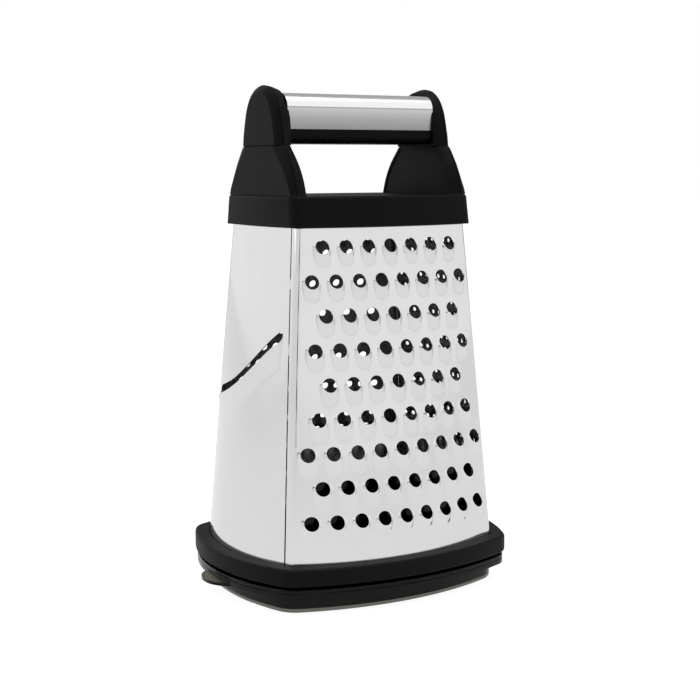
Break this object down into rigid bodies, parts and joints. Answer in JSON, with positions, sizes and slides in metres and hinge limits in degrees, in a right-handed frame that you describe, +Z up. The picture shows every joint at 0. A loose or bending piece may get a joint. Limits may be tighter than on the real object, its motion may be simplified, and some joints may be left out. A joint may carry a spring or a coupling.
{
  "type": "box grater",
  "caption": "Box grater with tapered steel faces for coarse, medium and fine grating and slicing, a bar handle, and a nested storage tub with a tabbed lid.",
  "frame": {"origin": "centre of the flat face under the lid, midway between the four corners of the body", "axes": "+Z up, +X along the wide grating faces with the slicing face on -X, +Y away from the coarse face"},
  "size_m": [0.1617, 0.131, 0.254],
  "materials": {
    "polished_steel": "mirror-polished stainless sheet",
    "brushed_sleeve": "satin steel, brushed along the bar",
    "screw_steel": "plain steel",
    "black_plastic": "black, fine satin grain",
    "ring_rubber": "black, soft satin",
    "smoke_plastic": "see-through smoke grey"
  },
  "bodies": {
    "lid": {"storage_lid": "smoke_plastic"},
    "tub": {"storage_tub": "smoke_plastic"},
    "grater": {"bar_screws": "screw_steel", "base_inner_frame": "black_plastic", "base_ring": "ring_rubber", "clamp_frame": "black_plastic", "coarse_panel": "polished_steel", "fine_panel": "polished_steel", "handle_core": "black_plastic", "handle_sleeve": "brushed_sleeve", "left_arch_cap": "black_plastic", "left_bell_cover": "black_plastic", "left_post": "black_plastic", "medium_panel": "polished_steel", "post_screws": "screw_steel", "right_arch_cap": "black_plastic", "right_bell_cover": "black_plastic", "right_post": "black_plastic", "ring_screws": "screw_steel", "slicer_panel": "polished_steel", "top_collar": "black_plastic"}
  },
  "joints": [
    {"name": "tub_lift", "type": "slide", "parent": "lid", "child": "tub", "axis": [0, 0, 1], "range_m": [0, 0.03]},
    {"name": "grater_lift", "type": "slide", "parent": "tub", "child": "grater", "axis": [0, 0, 1], "range_m": [0, 0.09]}
  ]
}
